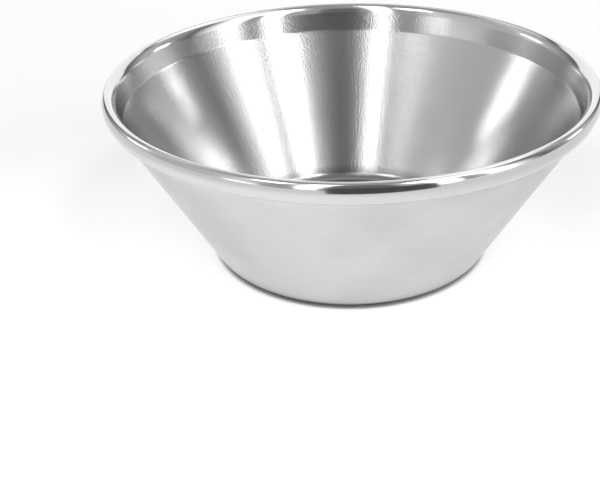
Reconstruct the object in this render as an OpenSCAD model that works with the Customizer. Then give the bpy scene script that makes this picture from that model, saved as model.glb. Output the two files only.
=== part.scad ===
// Small stainless prep bowl: a straight cone drawn from one sheet, flat at
// the base, with a steeper band at the top that rolls over into the rim.
// The origin is the middle of the base, on the table, and +Z points up.

/* [Bowl] */
// Diameter over the outside of the rolled rim
rim_d = 76; // [60:1:120]
// Height from the table to the top of the rim
bowl_h = 28.5; // [18:0.5:60]
// Diameter at which the line of the cone would meet the table
base_d = 43.5; // [24:0.5:60]
// Thickness of the sheet
sheet_t = 0.5; // [0.4:0.05:0.7]
// Outside radius of the corner between the base and the cone
corner_r = 2.5; // [1:0.1:5]

/* [Rim] */
// Width of the oval roll, across the sheet
roll_w = 2.1; // [1.9:0.1:4]
// Height of the oval roll, along the sheet
roll_h = 3.4; // [2.4:0.1:5]
// Lean of the band and the roll away from the vertical
band_lean = 13; // [0:1:18]
// Height of the band, from the middle of the roll to its lower bend
band_h = 3.1; // [2.6:0.1:6]
// Outside radius of the bend between the cone and the band
shoulder_r = 1.5; // [0.8:0.1:2]
// Gap between the band and the cut edge of the sheet, under the roll
slot_w = 0.15; // [0.1:0.05:0.5]

/* [Hidden] */
$fn = 96;

// The arc of the upper bend is drawn this much too large, so that it crosses
// the straight lines beside it and no sliver is left where they only touch
hair = 0.0002;

// Middle of the oval roll, as [distance from the axis, height]. The oval
// leans with the band, so its reach sideways and upwards mixes both its sizes.
roll_mid = [
    rim_d / 2 - norm([roll_w * cos(band_lean), roll_h * sin(band_lean)]) / 2,
    bowl_h - norm([roll_w * sin(band_lean), roll_h * cos(band_lean)]) / 2
];

// A point given across the sheet, outwards, and along it, upwards, from there
function on_rim(across, along) = roll_mid + [
    across * cos(band_lean) + along * sin(band_lean),
    along * cos(band_lean) - across * sin(band_lean)
];
function polar(radius, angle) = radius * [cos(angle), sin(angle)];

// Outer face of the band, and the point where its line meets the cone's line
band_face = sheet_t - roll_w / 2;
band_foot = on_rim(band_face, -band_h);

// Lean of the cone away from the vertical
cone_lean = atan((band_foot.x - base_d / 2) / band_foot.y);

// Middles of the two bends, placed by their outside radii
corner_mid = [base_d / 2 - corner_r * tan((90 - cone_lean) / 2), corner_r];
shoulder_mid = band_foot - polar(
    shoulder_r / cos((cone_lean - band_lean) / 2),
    -(cone_lean + band_lean) / 2
);

// Half section of a solid bowl with no hollow, drawn inset from the sheet's
// outer face. Both bends keep their middles, so two insets leave an even wall.
// The top is cut square to the band, at a lift above the middle of the roll.
module solid_section(inset, lift) {
    corner_face_r = corner_r - inset;
    shoulder_face_r = shoulder_r - inset;
    polygon([
        [0, inset],
        [corner_mid.x, inset],
        corner_mid + polar(corner_face_r, -cone_lean),
        shoulder_mid + polar(shoulder_face_r, -cone_lean),
        shoulder_mid + polar(shoulder_face_r, -band_lean),
        on_rim(band_face - inset, lift),
        [0, roll_mid.y + roll_mid.x * tan(band_lean) + lift / cos(band_lean)]
    ]);
    translate(corner_mid)
        circle(r = corner_face_r);
    translate(shoulder_mid)
        circle(r = shoulder_face_r + hair);
}

// Filled oval of the roll, drawn inset from its outer face
module roll_outline(inset) {
    scale([1, (roll_h - 2 * inset) / (roll_w - 2 * inset)])
        circle(r = roll_w / 2 - inset);
}

// Section of the rolled edge. It starts on the top of the band, runs over,
// down and under, and its cut edge ends tucked in beside the band.
module roll_section() {
    slot_reach = roll_w / 2 + sheet_t + slot_w;
    translate(roll_mid)
        rotate(-band_lean)
            difference() {
                roll_outline(0);
                roll_outline(sheet_t);
                translate([-roll_w, -roll_h])
                    square([slot_reach, roll_h]);
            }
}

// Floor, cone and band, drawn from one blank
module bowl_body() {
    color("silver")
        rotate_extrude()
            difference() {
                solid_section(0, 0);
                solid_section(sheet_t, 1);
            }
}

// Hollow roll, which stands on the top of the band
module rolled_rim() {
    color("gainsboro")
        rotate_extrude()
            roll_section();
}

bowl_body();
rolled_rim();
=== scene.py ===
# %% [markdown]
# # A small stainless prep bowl
# This lesson dresses a measured model of a prep bowl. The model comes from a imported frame,
# which gives every piece its real size and place in metres. The frame is only looked at
# here: the two steel pieces are modelled again with many more faces, so that the light
# runs over them as smoothly as over the real sheet.

from math import atan2, cos, degrees, hypot, pi, radians, sin, tan

import bmesh
import bpy
from mathutils import Matrix, Vector


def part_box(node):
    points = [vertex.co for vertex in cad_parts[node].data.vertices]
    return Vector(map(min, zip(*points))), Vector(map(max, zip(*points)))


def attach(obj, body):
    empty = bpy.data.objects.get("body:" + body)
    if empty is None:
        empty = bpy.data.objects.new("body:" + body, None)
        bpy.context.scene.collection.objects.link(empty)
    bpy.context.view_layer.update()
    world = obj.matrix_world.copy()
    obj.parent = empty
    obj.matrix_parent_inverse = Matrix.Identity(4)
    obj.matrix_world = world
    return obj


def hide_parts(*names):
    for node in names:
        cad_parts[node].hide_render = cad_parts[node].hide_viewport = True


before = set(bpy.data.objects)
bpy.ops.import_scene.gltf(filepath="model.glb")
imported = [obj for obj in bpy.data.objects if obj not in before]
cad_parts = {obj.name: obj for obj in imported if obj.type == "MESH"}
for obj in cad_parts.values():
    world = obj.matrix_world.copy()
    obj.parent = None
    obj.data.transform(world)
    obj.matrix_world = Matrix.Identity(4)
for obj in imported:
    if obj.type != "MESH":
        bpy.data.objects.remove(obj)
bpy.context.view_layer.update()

# %% [markdown]
# ## Reading the sizes
# The boxes of the nodes say how wide and how tall the bowl is. The sheet's thickness, the
# base, the bends and the section of the rolled edge aren't in a box, so they are written
# here as real sizes. The roll is an oval that leans outwards with the band below it.

# %% Sizes of the bowl
MM = 0.001
rim_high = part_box("rolled_rim")[1]
rim_r = rim_high.x
bowl_h = rim_high.z

sheet_t = 0.5 * MM
base_r = 21.75 * MM
corner_r = 2.5 * MM
shoulder_r = 1.5 * MM
band_h = 3.1 * MM
band_lean = radians(13)
roll_w = 2.1 * MM
roll_h = 3.4 * MM
slot_w = 0.15 * MM

roll_reach_out = hypot(roll_w * cos(band_lean), roll_h * sin(band_lean)) / 2
roll_reach_up = hypot(roll_w * sin(band_lean), roll_h * cos(band_lean)) / 2
roll_mid = Vector((rim_r - roll_reach_out, 0, bowl_h - roll_reach_up))
across_sheet = Vector((cos(band_lean), 0, -sin(band_lean)))
along_sheet = Vector((sin(band_lean), 0, cos(band_lean)))

band_top = roll_mid + across_sheet * (sheet_t - roll_w / 2)
band_foot = band_top - along_sheet * band_h
cone_lean = atan2(band_foot.x - base_r, band_foot.z)
print("bowl: %.2f mm across, %.2f mm tall" % (2 * rim_r / MM, bowl_h / MM))
print("the cone leans %.1f degrees from upright" % degrees(cone_lean))

# %% [markdown]
# ## Small helpers for modelling by hand
# An edit-mode operator works on everything that is selected, so each step first clears the
# selection and then picks what it needs by place. These helpers do the picking.

# %% Selection helpers
def select_only(obj):
    """Make one object the only selected one, and the active one."""
    bpy.ops.object.select_all(action="DESELECT")
    obj.select_set(True)
    bpy.context.view_layer.objects.active = obj


def pick_vertices(obj, wanted):
    """In edit mode, select the vertices whose place passes the test."""
    bpy.ops.mesh.select_mode(type="VERT")
    bpy.ops.mesh.select_all(action="DESELECT")
    mesh = bmesh.from_edit_mesh(obj.data)
    for vertex in mesh.verts:
        vertex.select = wanted(vertex.co)
    mesh.select_flush(True)
    bmesh.update_edit_mesh(obj.data)
    return sum(vertex.select for vertex in mesh.verts)


def from_axis(place):
    """Distance of a place from the axis of the bowl."""
    return hypot(place.x, place.y)


def finish_sheet(obj, name, body, node):
    """Give the surface its thickness, smooth it, and put it in the frame."""
    # Two empty material slots: the new inner face of the sheet goes on the second
    obj.data.materials.append(None)
    obj.data.materials.append(None)
    thick = obj.modifiers.new("sheet", "SOLIDIFY")
    thick.thickness = sheet_t
    thick.offset = -1
    thick.use_even_offset = True
    thick.material_offset = 1
    select_only(obj)
    bpy.ops.object.modifier_apply(modifier=thick.name)
    bpy.ops.object.transform_apply(location=True, rotation=True, scale=True)
    bpy.ops.object.shade_smooth_by_angle(angle=radians(40))
    obj.name = obj.data.name = name
    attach(obj, body)
    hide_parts(node)
    size = obj.dimensions / MM
    print("%s: %.2f x %.2f x %.2f mm, %d faces" % (name, *size, len(obj.data.polygons)))

# %% [markdown]
# ## The drawn body
# On the real bowl a flat disc of sheet is pressed over a former, so floor, cone and band are
# one skin. A spun profile would do, but drawing it up the way the press does is easier to
# follow: start with the floor as a disc, extrude its edge up to the foot of the band while
# widening it, extrude again for the band, and then round the two bends with bevels. Only the
# outer face is drawn. Solidify adds the thickness inwards at the end.

# %% Floor, cone and band
ROUND_STEPS = 288
TINY = 0.02 * MM

bpy.ops.object.select_all(action="DESELECT")
bpy.ops.mesh.primitive_circle_add(vertices=ROUND_STEPS, radius=base_r, fill_type="NGON")
drawn_body = bpy.context.object
bpy.ops.object.mode_set(mode="EDIT")


def draw_up(start_r, end_r, rise):
    """Extrude the selected edge upwards and widen it to a new radius."""
    bpy.ops.mesh.extrude_edges_move(TRANSFORM_OT_translate={"value": (0, 0, rise)})
    widen = end_r / start_r
    bpy.ops.transform.resize(value=(widen, widen, 1), center_override=(0, 0, 0))


bpy.ops.mesh.select_mode(type="EDGE")
bpy.ops.mesh.select_all(action="SELECT")
bpy.ops.mesh.region_to_loop()
draw_up(base_r, band_foot.x, band_foot.z)
draw_up(band_foot.x, band_top.x, band_top.z - band_foot.z)
print("drawn in three steps:", len(bmesh.from_edit_mesh(drawn_body.data).verts), "vertices")

# %% [markdown]
# The bevel's offset is the length that it cuts from each side of a bend. For a true radius
# that is the radius times the tangent of half the turn.

# %% Round the two bends
def round_bend(obj, height, radius, turn, steps):
    """Bevel the ring of edges at a height to a true radius."""
    pick_vertices(obj, lambda place: abs(place.z - height) < TINY and from_axis(place) > base_r - TINY)
    bpy.ops.mesh.bevel(offset_type="OFFSET", offset=radius * tan(turn / 2), segments=steps, profile=0.5)


round_bend(drawn_body, 0, corner_r, pi / 2 - cone_lean, 10)
round_bend(drawn_body, band_foot.z, shoulder_r, cone_lean - band_lean, 6)
print("after rounding:", len(bmesh.from_edit_mesh(drawn_body.data).verts), "vertices")

# %% [markdown]
# The floor is still one face with hundreds of corners. Insets break it into rings that
# follow the turning marks, and a poke closes the middle with a fan of small triangles.

# %% Rings in the floor
FLOOR_RINGS = 7
mesh = bmesh.from_edit_mesh(drawn_body.data)
bpy.ops.mesh.select_mode(type="FACE")
bpy.ops.mesh.select_all(action="DESELECT")
floor_face = max(mesh.faces, key=lambda face: len(face.verts))
floor_face.select_set(True)
bmesh.update_edit_mesh(drawn_body.data)
flat_r = max(from_axis(vertex.co) for vertex in floor_face.verts)
ring_w = flat_r / (FLOOR_RINGS + 1)
for ring in range(FLOOR_RINGS):
    bpy.ops.mesh.inset(thickness=ring_w, use_even_offset=True)
bpy.ops.mesh.poke()
print("floor: flat out to %.2f mm, %d rings" % (flat_r / MM, FLOOR_RINGS))

# %% [markdown]
# What is drawn so far is a skin with no thickness. Its doubled vertices are merged and its
# normals turned outwards first, because Solidify grows the sheet against the normals.

# %% Thickness and place
bpy.ops.mesh.select_all(action="SELECT")
bpy.ops.mesh.remove_doubles(threshold=TINY / 10)
bpy.ops.mesh.normals_make_consistent(inside=False)
lowest = min(bmesh.from_edit_mesh(drawn_body.data).faces, key=lambda face: face.calc_center_median().z)
if lowest.normal.z > 0:
    bpy.ops.mesh.flip_normals()
bpy.ops.object.mode_set(mode="OBJECT")
finish_sheet(drawn_body, "drawn_body", "root", "bowl_body")

# %% [markdown]
# ## The rolled rim
# The edge of the sheet is rolled over, out and under into a hollow oval, and its cut edge
# ends tucked in beside the band. By hand this is a circle stood on its edge, stretched to an
# oval and leant outwards. The vertices between the band and the cut edge are deleted, and
# what is left is spun once round the axis.

# %% Roll and spin
ROLL_STEPS = 72
bpy.ops.object.select_all(action="DESELECT")
bpy.ops.mesh.primitive_circle_add(vertices=ROLL_STEPS, radius=roll_w / 2, rotation=(pi / 2, 0, 0))
rolled_rim = bpy.context.object
bpy.ops.object.transform_apply(location=True, rotation=True, scale=True)
rolled_rim.scale = (1, 1, roll_h / roll_w)
bpy.ops.object.transform_apply(location=True, rotation=True, scale=True)
rolled_rim.rotation_euler = (0, band_lean, 0)
rolled_rim.location = roll_mid
bpy.ops.object.transform_apply(location=True, rotation=True, scale=True)
bpy.ops.object.mode_set(mode="EDIT")


def in_slot(place):
    """True below the middle of the roll, between the band and the cut edge."""
    across = (place - roll_mid).dot(across_sheet)
    along = (place - roll_mid).dot(along_sheet)
    return along < -TINY and across < sheet_t + slot_w - roll_w / 2


slot_count = pick_vertices(rolled_rim, in_slot)
bpy.ops.mesh.delete(type="VERT")
bpy.ops.mesh.select_all(action="SELECT")
bpy.ops.mesh.spin(steps=ROUND_STEPS, angle=2 * pi, center=(0, 0, 0), axis=(0, 0, 1))
bpy.ops.mesh.select_all(action="SELECT")
bpy.ops.mesh.remove_doubles(threshold=TINY / 10)
bpy.ops.mesh.normals_make_consistent(inside=False)
top_face = max(bmesh.from_edit_mesh(rolled_rim.data).faces, key=lambda face: face.calc_center_median().z)
if top_face.normal.z < 0:
    bpy.ops.mesh.flip_normals()
bpy.ops.object.mode_set(mode="OBJECT")
print("slot left open over %d of %d steps" % (slot_count, ROLL_STEPS))
finish_sheet(rolled_rim, "rolled_edge", "root", "rolled_rim")

# %% [markdown]
# ## How spun steel catches the light
# The bowl was polished while it turned, so its scratches run round the axis. Each scratch
# throws light across itself, up and down the wall, and hardly at all sideways. That is why a
# lamp shows in the bowl as a long bright stripe. In Blender this is the Anisotropic value of
# the steel, with a tangent that runs round the Z axis and a quarter turn of rotation.
# Several kinds of small relief come on top. They are worked out from the place on the bowl,
# so they cost no faces.

# %% Node helpers
MICRON = 0.001 * MM


def calc(tree, operation, *values):
    """Add a Math node. Each value is a number or a socket to link from."""
    node = tree.nodes.new("ShaderNodeMath")
    node.operation = operation
    for socket, value in zip(node.inputs, values):
        if isinstance(value, (int, float)):
            socket.default_value = value
        else:
            tree.links.new(value, socket)
    return node.outputs[0]


def noise(tree, vector, scale, detail=2.0, roughness=0.5):
    """Add a Noise Texture and return its value, which lies round 0.5."""
    node = tree.nodes.new("ShaderNodeTexNoise")
    tree.links.new(vector, node.inputs["Vector"])
    node.inputs["Scale"].default_value = scale
    node.inputs["Detail"].default_value = detail
    node.inputs["Roughness"].default_value = roughness
    return node.outputs["Fac"]


def smooth_step(tree, value, low, high):
    """0 below low, 1 above high, and an S-shaped rise between them."""
    node = tree.nodes.new("ShaderNodeMapRange")
    node.interpolation_type = "SMOOTHSTEP"
    tree.links.new(value, node.inputs["Value"])
    node.inputs["From Min"].default_value = low
    node.inputs["From Max"].default_value = high
    return node.outputs["Result"]


def mix_tones(tree, factor, start, end):
    """Mix two tones. Each is three numbers or a socket to link from."""
    node = tree.nodes.new("ShaderNodeMix")
    node.data_type = "RGBA"
    tree.links.new(factor, node.inputs["Factor"])
    colour_sockets = [socket for socket in node.inputs if socket.type == "RGBA"]
    for socket, tone in zip(colour_sockets, (start, end)):
        if isinstance(tone, tuple):
            socket.default_value = (*tone, 1)
        else:
            tree.links.new(tone, socket)
    return next(socket for socket in node.outputs if socket.type == "RGBA")


def plain(grey):
    """An even grey as three numbers."""
    return (grey, grey, grey)

# %% [markdown]
# The next helpers say where a point of the surface is. A place on a circle round the axis
# lets a noise run round the bowl with no seam where it meets itself.

# %% Places on the bowl
def object_place(tree):
    """The place on the object in metres, whole and split into x, y and z."""
    place = tree.nodes.new("ShaderNodeTexCoord").outputs["Object"]
    split = tree.nodes.new("ShaderNodeSeparateXYZ")
    tree.links.new(place, split.inputs[0])
    return place, split.outputs[0], split.outputs[1], split.outputs[2]


def axis_distance(tree, x, y):
    """Distance from the Z axis, never quite zero."""
    square = calc(tree, "MULTIPLY_ADD", x, x, calc(tree, "MULTIPLY", y, y))
    return calc(tree, "MAXIMUM", calc(tree, "SQRT", square), TINY)


def round_place(tree, turns, pitch):
    """A place for noise: a point on a circle, and the travel up the wall over a pitch."""
    x, y, z = object_place(tree)[1:]
    radius = axis_distance(tree, x, y)
    ring = tree.nodes.new("ShaderNodeCombineXYZ")
    tree.links.new(calc(tree, "MULTIPLY", calc(tree, "DIVIDE", x, radius), turns), ring.inputs[0])
    tree.links.new(calc(tree, "MULTIPLY", calc(tree, "DIVIDE", y, radius), turns), ring.inputs[1])
    tree.links.new(calc(tree, "DIVIDE", calc(tree, "ADD", radius, z), pitch), ring.inputs[2])
    return ring.outputs[0]


def new_group(name, inputs, outputs):
    """Start a shader node group with named number sockets."""
    tree = bpy.data.node_groups.new(name, "ShaderNodeTree")
    for label, value in inputs.items():
        socket = tree.interface.new_socket(label, in_out="INPUT", socket_type="NodeSocketFloat")
        socket.default_value = value
    for label in outputs:
        tree.interface.new_socket(label, in_out="OUTPUT", socket_type="NodeSocketFloat")
    group_in = tree.nodes.new("NodeGroupInput")
    group_out = tree.nodes.new("NodeGroupOutput")
    return tree, group_in.outputs, group_out.inputs

# %% [markdown]
# ### Relief of the spun surface
# A noise that is stretched round the axis makes lines. Its first two coordinates are a point
# on a circle, which changes slowly along a line. The third is the distance travelled up the
# wall, which changes fast from one line to the next. Stretched the other way, the same noise
# makes the faint ridges that drawing the sheet leaves up the wall. A fine grain frays the
# edge of each stripe, and slow waves bend it a little. The group gives one height in microns,
# and each finish chooses how deep the reliefs are.

# %% Group: spun relief
LINE_PITCH = 0.22 * MM
LINE_TURNS = 6
RIDGE_TURNS = 110
RIDGE_LENGTH = 9 * MM
GRAIN_SIZE = 0.3 * MM
WAVE_SIZE = 9 * MM

spun_relief, given, result = new_group(
    "spun_relief",
    {"Line Depth": 1.0, "Ridge Depth": 1.0, "Grain Depth": 1.0, "Wave Depth": 20.0},
    ["Height", "Lines"],
)
place = object_place(spun_relief)[0]
lines = noise(spun_relief, round_place(spun_relief, LINE_TURNS, LINE_PITCH), 1, detail=3, roughness=0.65)
ridges = noise(spun_relief, round_place(spun_relief, RIDGE_TURNS, RIDGE_LENGTH), 1, detail=2)
grain = noise(spun_relief, place, 1 / GRAIN_SIZE, detail=2, roughness=0.6)
waves = noise(spun_relief, place, 1 / WAVE_SIZE, detail=1)
height = calc(spun_relief, "MULTIPLY", lines, given["Line Depth"])
height = calc(spun_relief, "MULTIPLY_ADD", ridges, given["Ridge Depth"], height)
height = calc(spun_relief, "MULTIPLY_ADD", grain, given["Grain Depth"], height)
height = calc(spun_relief, "MULTIPLY_ADD", waves, given["Wave Depth"], height)
spun_relief.links.new(height, result["Height"])
spun_relief.links.new(lines, result["Lines"])
print("spun relief:", len(spun_relief.nodes), "nodes")

# %% [markdown]
# ### Signs of use
# Washing and stacking leave dull smudges and a few thin scratches round the bowl. The group
# gives one mask for each, and a finish decides what a mask does to the steel.

# %% Group: handling marks
SMUDGE_SIZE = 14 * MM
SMUDGE_EDGE = (0.4, 0.72)
SCRATCH_PITCH = 1.1 * MM
SCRATCH_TURNS = 7
SCRATCH_EDGE = (0.74, 0.8)

handling_marks, given, result = new_group(
    "handling_marks",
    {"Smudges": 1.0, "Scratches": 1.0},
    ["Smudge", "Scratch"],
)
place = object_place(handling_marks)[0]
cloud = noise(handling_marks, place, 1 / SMUDGE_SIZE, detail=4, roughness=0.6)
smudge = smooth_step(handling_marks, cloud, *SMUDGE_EDGE)
handling_marks.links.new(calc(handling_marks, "MULTIPLY", smudge, given["Smudges"]), result["Smudge"])
thin = noise(handling_marks, round_place(handling_marks, SCRATCH_TURNS, SCRATCH_PITCH), 1, detail=0)
scratch = smooth_step(handling_marks, thin, *SCRATCH_EDGE)
handling_marks.links.new(calc(handling_marks, "MULTIPLY", scratch, given["Scratches"]), result["Scratch"])
print("handling marks:", len(handling_marks.nodes), "nodes")

# %% [markdown]
# ### The finishes
# All are bare steel. They differ in how rough they are and how strongly the lines stretch a
# highlight. The band under the rim is smoother than the brushed cone. Inside, the floor and
# the bend at its edge get a painted shade that darkens them like a shadow in the recess.

# %% Steel
LINE_ROUGHNESS = 0.08
SCRATCH_ROUGHNESS = 0.04
QUARTER_TURN = 0.25
BAND_BLEND = 0.4 * MM
FOOT_LOW = 1.2 * MM
FOOT_HIGH = 3 * MM
WEAR_AND_SHADE_SHARE = 0.4
CLEAN_BLUE_SHARE = 0.995
WEAR_AND_SHADE_BLUE_SHARE = 0.975


def steel(name, grey, roughness, band_roughness, anisotropy, depths, wear, smudge, mottle, foot_shade):
    """Bare spun steel.

    Depths are in microns. Smudge is the roughness that a smudge adds, mottle says how much
    smudges and lines darken the steel, and foot says how strong the painted shade is that
    darkens its lowest part, the floor and the bend at its edge.
    """
    material = bpy.data.materials.new(name)
    material.use_nodes = True
    tree = material.node_tree
    shader = tree.nodes["Principled BSDF"]
    shader.inputs["Metallic"].default_value = 1
    shader.inputs["Anisotropic"].default_value = anisotropy
    shader.inputs["Anisotropic Rotation"].default_value = QUARTER_TURN
    tangent = tree.nodes.new("ShaderNodeTangent")
    tangent.direction_type = "RADIAL"
    tangent.axis = "Z"
    tree.links.new(tangent.outputs["Tangent"], shader.inputs["Tangent"])

    relief = tree.nodes.new("ShaderNodeGroup")
    relief.node_tree = spun_relief
    for label, depth in depths.items():
        relief.inputs[label].default_value = depth
    marks = tree.nodes.new("ShaderNodeGroup")
    marks.node_tree = handling_marks
    for label, strength in wear.items():
        marks.inputs[label].default_value = strength

    height = object_place(tree)[3]
    band = smooth_step(tree, height, band_foot.z - BAND_BLEND, band_foot.z + BAND_BLEND)
    rough = calc(tree, "MULTIPLY_ADD", marks.outputs["Smudge"], smudge, roughness)
    line_share = calc(tree, "SUBTRACT", relief.outputs["Lines"], 0.5)
    rough = calc(tree, "MULTIPLY_ADD", line_share, LINE_ROUGHNESS, rough)
    rough = calc(tree, "MULTIPLY_ADD", marks.outputs["Scratch"], SCRATCH_ROUGHNESS, rough)
    to_band = calc(tree, "SUBTRACT", band_roughness, rough)
    rough = calc(tree, "MULTIPLY_ADD", to_band, band, rough)
    tree.links.new(rough, shader.inputs["Roughness"])

    wear_and_shade = calc(tree, "MULTIPLY", marks.outputs["Smudge"], mottle)
    wear_and_shade = calc(tree, "MULTIPLY_ADD", line_share, mottle, wear_and_shade)
    # Smudges and lines darken the steel as real wear and tone. The foot adds painted shade: the floor and
    # the bend at its edge are mixed towards the darker tone, as if in shadow.
    above_foot = smooth_step(tree, height, FOOT_LOW, FOOT_HIGH)
    wear_and_shade = calc(tree, "MULTIPLY_ADD", calc(tree, "SUBTRACT", 1, above_foot), foot_shade, wear_and_shade)
    wear_and_shade_grey = grey * WEAR_AND_SHADE_SHARE
    clean_tone = (grey, grey, grey * CLEAN_BLUE_SHARE)
    wear_and_shade_tone = (wear_and_shade_grey, wear_and_shade_grey, wear_and_shade_grey * WEAR_AND_SHADE_BLUE_SHARE)
    tree.links.new(mix_tones(tree, wear_and_shade, clean_tone, wear_and_shade_tone), shader.inputs["Base Color"])

    bump = tree.nodes.new("ShaderNodeBump")
    bump.inputs["Strength"].default_value = 1
    bump.inputs["Distance"].default_value = MICRON
    tree.links.new(relief.outputs["Height"], bump.inputs["Height"])
    tree.links.new(bump.outputs["Normal"], shader.inputs["Normal"])
    return material

# %% [markdown]
# ### Three finishes
# The outside is satin. The inside is less rough and its lines stretch a highlight further,
# and the rolled edge is polished. All three are worn alike.

# %% Outside, inside and rolled edge
WORN = {"Smudges": 1, "Scratches": 1}

outside = steel(
    "satin_outside", grey=0.56, roughness=0.3, band_roughness=0.24, anisotropy=0.6,
    depths={"Line Depth": 1.5, "Ridge Depth": 3, "Grain Depth": 8, "Wave Depth": 20},
    wear=WORN, smudge=0.06, mottle=0.12, foot_shade=0,
)
# The inside's foot value paints shade over the floor and the bend at its edge.
inside = steel(
    "spun_inside", grey=0.54, roughness=0.19, band_roughness=0.15, anisotropy=0.8,
    depths={"Line Depth": 1.5, "Ridge Depth": 3, "Grain Depth": 20, "Wave Depth": 20},
    wear=WORN, smudge=0.03, mottle=0.1, foot_shade=0.7,
)
polished = steel(
    "polished_edge", grey=0.58, roughness=0.12, band_roughness=0.12, anisotropy=0.3,
    depths={"Line Depth": 0.3, "Ridge Depth": 0, "Grain Depth": 1, "Wave Depth": 10},
    wear=WORN, smudge=0.05, mottle=0.05, foot_shade=0,
)
drawn_body.data.materials[0] = outside
drawn_body.data.materials[1] = inside
rolled_rim.data.materials[0] = polished
rolled_rim.data.materials[1] = polished
print("inside faces:", sum(face.material_index == 1 for face in drawn_body.data.polygons))

# %% [markdown]
# ## Table, light and camera
# The bowl stands on white paper over a light table, which keeps its shadow pale and lights
# the satin wall from below. The glow is strongest a little to the left and in front of the
# middle of the bowl. Under the base there is none, and the paper there is painted darker as a
# contact shadow, so that a thin dark line is left where the steel touches the paper.

# %% Paper on a light table
GLOW = 0.45
GLOW_LEFT = 14 * MM
GLOW_FRONT = 24 * MM
GLOW_FADE = (8 * MM, 90 * MM)
BASE_EDGE = (21.6 * MM, 22.8 * MM)
FIBRE_SIZE = 0.8 * MM
PAPER_DARK = 0.8
PAPER_LIGHT = 0.84
CONTACT_SHADOW_GREY = 0.35
TABLE_SIZE = 3
bpy.ops.object.select_all(action="DESELECT")
bpy.ops.mesh.primitive_plane_add(size=TABLE_SIZE)
table = bpy.context.object
table.name = "table"
paper = bpy.data.materials.new("lit_paper")
paper.use_nodes = True
tree = paper.node_tree
shader = tree.nodes["Principled BSDF"]
place, x, y = object_place(tree)[:3]
fibre = noise(tree, place, 1 / FIBRE_SIZE, detail=3)
paper_tone = mix_tones(tree, fibre, plain(PAPER_DARK), plain(PAPER_LIGHT))
outside_base = smooth_step(tree, axis_distance(tree, x, y), *BASE_EDGE)
# Under the base the paper tone is mixed to a darker grey: a painted contact shadow where the steel
# stands.
table_tone = mix_tones(tree, outside_base, plain(CONTACT_SHADOW_GREY), paper_tone)
tree.links.new(table_tone, shader.inputs["Base Color"])
shader.inputs["Roughness"].default_value = 0.9
from_glow = axis_distance(tree, calc(tree, "ADD", x, GLOW_LEFT), calc(tree, "ADD", y, GLOW_FRONT))
far_out = smooth_step(tree, from_glow, *GLOW_FADE)
glow = calc(tree, "MULTIPLY", outside_base, calc(tree, "SUBTRACT", 1, far_out))
tree.links.new(glow, shader.inputs["Emission Color"])
shader.inputs["Emission Strength"].default_value = GLOW
table.data.materials.append(paper)
print("the glow fades out %.0f mm from its middle" % (GLOW_FADE[1] / MM))

# %% [markdown]
# ### Lamps
# Bright steel shows its surroundings, so the light is placed by what the bowl mirrors. Each
# softbox stands in a direction from the bowl: azimuth 0 is behind the camera, 90 is on its
# right. Its width and height are angles too, so it keeps its size in the reflection.

# %% Softboxes
ABOVE_TABLE = Vector((0, 0, 20 * MM))
LAMP_DISTANCE = 1.6


def heading(azimuth, elevation):
    """Direction from the bowl."""
    turn = radians(azimuth)
    lift = radians(elevation)
    return Vector((sin(turn) * cos(lift), -cos(turn) * cos(lift), sin(lift)))


def softbox(name, azimuth, elevation, wide, tall, glow, roll=0):
    """A flat glowing panel that faces the bowl, sized in degrees, with its foot rolled to the right."""
    panel = bpy.data.lights.new(name, "AREA")
    panel.shape = "RECTANGLE"
    panel.size = 2 * LAMP_DISTANCE * tan(radians(wide / 2))
    panel.size_y = 2 * LAMP_DISTANCE * tan(radians(tall / 2))
    panel.energy = glow * pi * panel.size * panel.size_y
    lamp = bpy.data.objects.new(name, panel)
    lamp.visible_camera = False
    away = heading(azimuth, elevation)
    facing = away.to_track_quat("Z", "Y").to_matrix().to_4x4() @ Matrix.Rotation(radians(roll), 4, "Z")
    lamp.matrix_world = Matrix.Translation(ABOVE_TABLE + away * LAMP_DISTANCE) @ facing
    bpy.context.scene.collection.objects.link(lamp)


softbox("left_strip", -18, 38, 10, 72, 2.4)
softbox("left_top", -44, 53, 12, 12, 7)
softbox("left_low", -46, 5, 15, 10, 1.1)
softbox("right_window", 42, 28, 11, 64, 3)
softbox("right_window_far", 66, 26, 13, 58, 1.9)
softbox("right_top", 45, 54, 12, 12, 7)
softbox("over_right", 100, 62, 90, 22, 0.9)
softbox("top_back", 180, 58, 70, 22, 0.8)
softbox("back_cove", 180, 20, 66, 38, 1.2)
softbox("back_left_window", -107, 17, 13, 6, 5, roll=35)
softbox("back_right_window", 112, 12, 10, 9, 5)

# %% [markdown]
# Bright steel also needs something dark to mirror. Two cards stand where the camera and the
# hands that hold it would be. They show in the steel alone and leave no shade on the paper.

# %% Dark cards
def dark_card(name, left, right, front, top, grey):
    """An upright card that only shows in reflections."""
    bpy.ops.object.select_all(action="DESELECT")
    middle = ((left + right) / 2, front, top / 2)
    bpy.ops.mesh.primitive_plane_add(size=1, location=middle, rotation=(pi / 2, 0, 0))
    card = bpy.context.object
    card.name = name
    card.scale = (right - left, top, 1)
    bpy.ops.object.transform_apply(location=True, rotation=True, scale=True)
    card.visible_camera = False
    card.visible_diffuse = False
    card.visible_shadow = False
    cloth = bpy.data.materials.new(name)
    cloth.use_nodes = True
    shader = cloth.node_tree.nodes["Principled BSDF"]
    shader.inputs["Base Color"].default_value = (*plain(grey), 1)
    shader.inputs["Roughness"].default_value = 1
    shader.inputs["Specular IOR Level"].default_value = 0
    card.data.materials.append(cloth)


dark_card("camera_card", -12 * MM, 34 * MM, -105 * MM, 180 * MM, 0.2)
dark_card("hands_card", -14 * MM, 60 * MM, -100 * MM, 58 * MM, 0.1)
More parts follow.
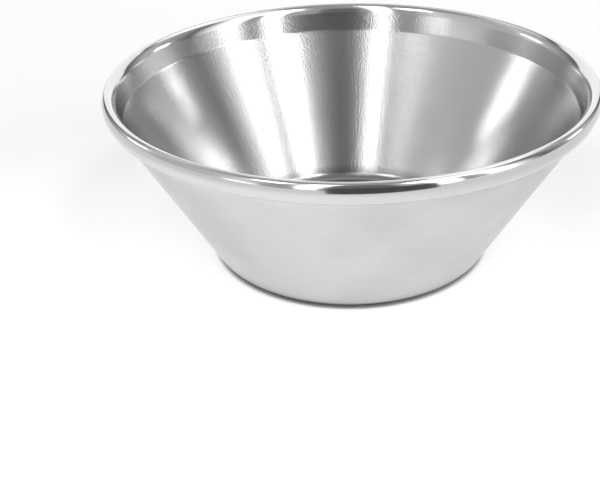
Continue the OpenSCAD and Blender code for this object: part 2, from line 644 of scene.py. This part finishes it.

# %% [markdown]
# ### The room
# The walls of the room are a ring of listed greys, looked up by azimuth, under an
# even ceiling. The greys run into each other, and so do walls and ceiling.

# %% Room
ROOM = {
    -180: 0.2, -142: 0.15, -126: 0.5, -105: 0.9, -90: 0.65, -60: 0.8, -47: 1.1, -35: 0.5,
    -8: 0.45, 14: 0.45, 26: 0.6, 52: 0.4, 75: 1.6, 90: 0.15, 100: 0.4, 126: 0.7, 142: 0.15, 180: 0.2,
}
CEILING = 0.45
CEILING_EDGE = (sin(radians(48)), sin(radians(62)))
BRIGHTEST = 2
world = bpy.data.worlds.new("studio")
world.use_nodes = True
tree = world.node_tree
split = tree.nodes.new("ShaderNodeSeparateXYZ")
tree.links.new(tree.nodes.new("ShaderNodeTexCoord").outputs["Generated"], split.inputs[0])
turn = calc(tree, "ARCTAN2", split.outputs["X"], calc(tree, "MULTIPLY", split.outputs["Y"], -1))
share = calc(tree, "MULTIPLY_ADD", turn, 0.5 / pi, 0.5)
walls = tree.nodes.new("ShaderNodeValToRGB")
while len(walls.color_ramp.elements) < len(ROOM):
    walls.color_ramp.elements.new(0.5)
for element, azimuth in zip(walls.color_ramp.elements, sorted(ROOM)):
    element.position = (azimuth + 180) / 360
for element, azimuth in zip(walls.color_ramp.elements, sorted(ROOM)):
    grey = ROOM[azimuth] / BRIGHTEST
    element.color = (*plain(grey), 1)
tree.links.new(share, walls.inputs["Fac"])
wall_light = calc(tree, "MULTIPLY", walls.outputs["Color"], BRIGHTEST)
overhead = smooth_step(tree, split.outputs["Z"], *CEILING_EDGE)
to_ceiling = calc(tree, "SUBTRACT", CEILING, wall_light)
light = calc(tree, "MULTIPLY_ADD", to_ceiling, overhead, wall_light)
background = tree.nodes["Background"]
background.inputs["Color"].default_value = (1, 1, 1, 1)
tree.links.new(light, background.inputs["Strength"])
bpy.context.scene.world = world
bpy.context.scene.view_settings.view_transform = "Standard"
print("room: %d greys" % len(ROOM))

# %% [markdown]
# ### Camera
# The camera looks down at the bowl from close by, a little off its middle, which puts the
# rim at the top right of the picture.

# %% Camera
PICTURE_W = 600
SENSOR_W = 36
focal_px = 1077
camera_target = Vector((0, 0, 1 * MM))
camera_distance = 180.05 * MM
camera_elevation = radians(28.925)
camera_pan = radians(2.644)
camera_tilt = radians(-0.983)
camera_roll = radians(-0.228)

bpy.ops.object.camera_add()
camera = bpy.context.object
camera.name = "camera"
aim = (
    Matrix.Rotation(pi / 2 - camera_elevation, 4, "X")
    @ Matrix.Rotation(camera_roll, 4, "Z")
    @ Matrix.Rotation(camera_pan, 4, "Y")
    @ Matrix.Rotation(camera_tilt, 4, "X")
)
back = Vector((0, -cos(camera_elevation), sin(camera_elevation)))
camera.matrix_world = Matrix.Translation(camera_target + back * camera_distance) @ aim
camera.data.sensor_width = SENSOR_W
camera.data.lens = focal_px / PICTURE_W * SENSOR_W
camera.data.clip_start = 1 * MM
camera.data.clip_end = 10
bpy.context.scene.camera = camera
print("lens %.1f mm at %.0f mm" % (camera.data.lens, camera_distance / MM))
